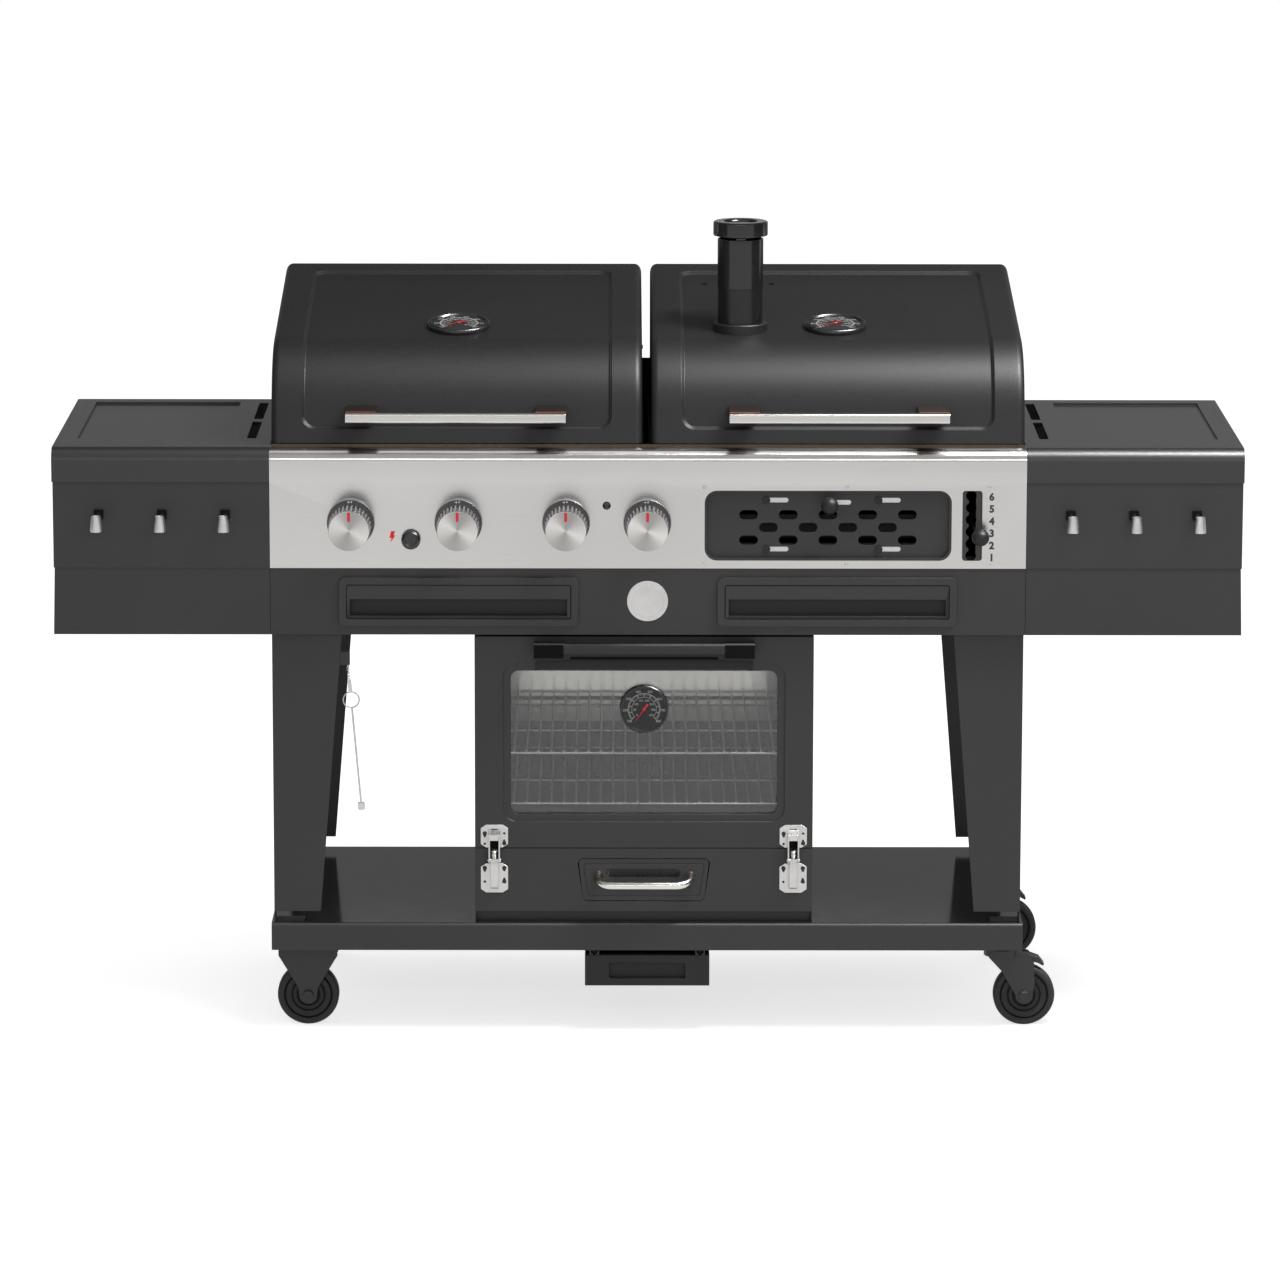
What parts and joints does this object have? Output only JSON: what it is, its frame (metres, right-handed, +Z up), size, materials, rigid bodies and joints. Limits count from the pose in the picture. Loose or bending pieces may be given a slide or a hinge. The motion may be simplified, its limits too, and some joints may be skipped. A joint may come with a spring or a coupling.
{
  "type": "combination gas and charcoal grill cart",
  "caption": "Wheeled combination grill with gas and charcoal fireboxes under hinged lids, fold-out side shelves with hooks, drawers and a glass-door smoker cabinet below.",
  "frame": {"origin": "on the ground, midway between the shelf ends and midway between the knobs' front and the lower shelf's back", "axes": "+X to the right seen from the front, along the body; +Y to the back; +Z up"},
  "size_m": [2, 0.7, 1.369],
  "materials": {
    "black_coat": "black powder coat, fine orange-peel grain",
    "dark_coat": "darker powder coat inside and below",
    "enamel": "semi-gloss black enamel",
    "steel": "brushed stainless, grain along x",
    "zinc": "plain zinc plate",
    "chrome": "bright",
    "satin": "satin face on a black ribbed skirt",
    "iron": "seasoned cast iron",
    "burner": "heat-toned stainless",
    "glass": "smoked tempered glass",
    "plastic": "black heat-resistant plastic",
    "wheel": "hard black plastic wheel and tread",
    "bezel": "grey bezel"
  },
  "bodies": {
    "cart": {"lower_shelf": "black_coat", "shelf_channels": "dark_coat", "legs": "black_coat", "side_panels": "dark_coat", "back_panel": "dark_coat", "left_firebox": "enamel", "right_firebox": "enamel", "control_panel": "steel", "drawer_apron": "black_coat", "drawer_runners": "dark_coat", "side_shelf_tops": "black_coat", "side_shelf_panels": "black_coat", "tool_hooks": "chrome", "knob_bezels": "bezel", "vent_plate": "dark_coat", "panel_screws": "steel", "gas_burners": "burner", "flame_tamers": "burner", "cooking_grates": "iron", "gas_manifold": "zinc", "smoker_cabinet": "dark_coat", "cabinet_lower_panel": "black_coat", "smoker_racks": "chrome", "hinge_lower_plates": "zinc", "caddy_rails": "steel", "caster_mounts": "dark_coat"},
    "left_lid": {"left_lid": "black_coat", "left_lid_handle": "steel", "left_lid_dial": "enamel"},
    "right_lid": {"right_lid": "black_coat", "right_lid_handle": "steel", "right_lid_dial": "enamel", "chimney": "enamel"},
    "chimney_cap": {"chimney_cap": "enamel"},
    "smoker_door": {"smoker_door": "black_coat", "door_glass": "glass", "door_handle": "steel", "door_dial": "enamel", "hinge_arms": "zinc"},
    "knob_1": {"control_knob_1": "satin"},
    "knob_2": {"control_knob_2": "satin"},
    "knob_3": {"control_knob_3": "satin"},
    "knob_4": {"control_knob_4": "satin"},
    "igniter": {"igniter_button": "plastic"},
    "shutter": {"vent_shutter": "dark_coat"},
    "lever": {"lift_lever": "plastic"},
    "tray": {"charcoal_tray": "iron"},
    "grease_drawer": {"grease_drawer": "black_coat"},
    "ash_drawer": {"ash_drawer": "black_coat"},
    "chip_tray": {"chip_tray": "chrome"},
    "caddy": {"caddy": "dark_coat"},
    "match_holder": {"match_holder": "zinc"},
    "front_swivel": {"front_swivel_fork": "dark_coat"},
    "rear_swivel": {"rear_swivel_fork": "dark_coat"},
    "front_pedal": {"front_brake_pedal": "dark_coat"},
    "rear_pedal": {"rear_brake_pedal": "dark_coat"},
    "front_left_wheel": {"front_left_wheel": "wheel"},
    "rear_left_wheel": {"rear_left_wheel": "wheel"},
    "front_right_wheel": {"front_right_wheel": "wheel"},
    "rear_right_wheel": {"rear_right_wheel": "wheel"}
  },
  "joints": [
    {"name": "left_lid_hinge", "type": "hinge", "parent": "cart", "child": "left_lid", "pos_m": [-0.321, 0.335, 1.09], "axis": [-1, 0, 0], "range_deg": [0, 85]},
    {"name": "right_lid_hinge", "type": "hinge", "parent": "cart", "child": "right_lid", "pos_m": [0.319, 0.335, 1.09], "axis": [-1, 0, 0], "range_deg": [0, 85]},
    {"name": "chimney_cap_slide", "type": "slide", "parent": "right_lid", "child": "chimney_cap", "axis": [0, 0, 1], "range_m": [-0.02, 0.012]},
    {"name": "smoker_door_hinge", "type": "hinge", "parent": "cart", "child": "smoker_door", "pos_m": [-0.006, -0.25, 0.302], "axis": [1, 0, 0], "range_deg": [0, 90]},
    {"name": "knob_1_turn", "type": "hinge", "parent": "cart", "child": "knob_1", "pos_m": [-0.4987, -0.288, 0.8853], "axis": [0, -1, 0], "range_deg": [0, 200]},
    {"name": "knob_2_turn", "type": "hinge", "parent": "cart", "child": "knob_2", "pos_m": [-0.3181, -0.288, 0.8853], "axis": [0, -1, 0], "range_deg": [0, 200]},
    {"name": "knob_3_turn", "type": "hinge", "parent": "cart", "child": "knob_3", "pos_m": [-0.1375, -0.288, 0.8853], "axis": [0, -1, 0], "range_deg": [0, 200]},
    {"name": "knob_4_turn", "type": "hinge", "parent": "cart", "child": "knob_4", "pos_m": [-0.0012, -0.288, 0.8853], "axis": [0, -1, 0], "range_deg": [0, 200]},
    {"name": "igniter_press", "type": "slide", "parent": "cart", "child": "igniter", "axis": [0, 1, 0], "range_m": [0, 0.004], "stiffness_N_per_m": 600},
    {"name": "vent_shutter_slide", "type": "slide", "parent": "cart", "child": "shutter", "axis": [1, 0, 0], "range_m": [0, 0.033]},
    {"name": "lift_lever_hinge", "type": "hinge", "parent": "cart", "child": "lever", "pos_m": [0.58, -0.167, 0.88], "axis": [-1, 0, 0], "range_deg": [-22, 32]},
    {"name": "charcoal_tray_lift", "type": "slide", "parent": "cart", "child": "tray", "axis": [0, 0, 1], "range_m": [-0.0422, 0.0614]},
    {"name": "grease_drawer_slide", "type": "slide", "parent": "cart", "child": "grease_drawer", "axis": [0, -1, 0], "range_m": [0, 0.35]},
    {"name": "ash_drawer_slide", "type": "slide", "parent": "cart", "child": "ash_drawer", "axis": [0, -1, 0], "range_m": [0, 0.35]},
    {"name": "chip_tray_slide", "type": "slide", "parent": "cart", "child": "chip_tray", "axis": [0, -1, 0], "range_m": [0, 0.25]},
    {"name": "caddy_slide", "type": "slide", "parent": "cart", "child": "caddy", "axis": [0, -1, 0], "range_m": [0, 0.25]},
    {"name": "match_holder_swing", "type": "hinge", "parent": "cart", "child": "match_holder", "pos_m": [-0.5077, -0.23, 0.646], "axis": [0, 1, 0], "range_deg": [-25, 25]},
    {"name": "front_swivel_turn", "type": "hinge", "parent": "cart", "child": "front_swivel", "pos_m": [0.607, -0.178, 0.13], "axis": [0, 0, 1], "continuous": true},
    {"name": "rear_swivel_turn", "type": "hinge", "parent": "cart", "child": "rear_swivel", "pos_m": [0.607, 0.318, 0.13], "axis": [0, 0, 1], "continuous": true},
    {"name": "front_left_wheel_spin", "type": "hinge", "parent": "cart", "child": "front_left_wheel", "pos_m": [-0.58, -0.178, 0.0525], "axis": [0, 1, 0], "continuous": true},
    {"name": "rear_left_wheel_spin", "type": "hinge", "parent": "cart", "child": "rear_left_wheel", "pos_m": [-0.58, 0.318, 0.0525], "axis": [0, 1, 0], "continuous": true},
    {"name": "front_right_wheel_spin", "type": "hinge", "parent": "front_swivel", "child": "front_right_wheel", "pos_m": [0.646, -0.178, 0.0525], "axis": [0, 1, 0], "continuous": true},
    {"name": "rear_right_wheel_spin", "type": "hinge", "parent": "rear_swivel", "child": "rear_right_wheel", "pos_m": [0.646, 0.318, 0.0525], "axis": [0, 1, 0], "continuous": true},
    {"name": "front_pedal_hinge", "type": "hinge", "parent": "front_swivel", "child": "front_pedal", "pos_m": [0.647, -0.178, 0.117], "axis": [0, 1, 0], "range_deg": [0, 10]},
    {"name": "rear_pedal_hinge", "type": "hinge", "parent": "rear_swivel", "child": "rear_pedal", "pos_m": [0.647, 0.318, 0.117], "axis": [0, 1, 0], "range_deg": [0, 10]}
  ],
  "couplings": [
    {"joint": "lift_lever_hinge", "follows": "charcoal_tray_lift", "rad_per_m": 9.0909}
  ]
}
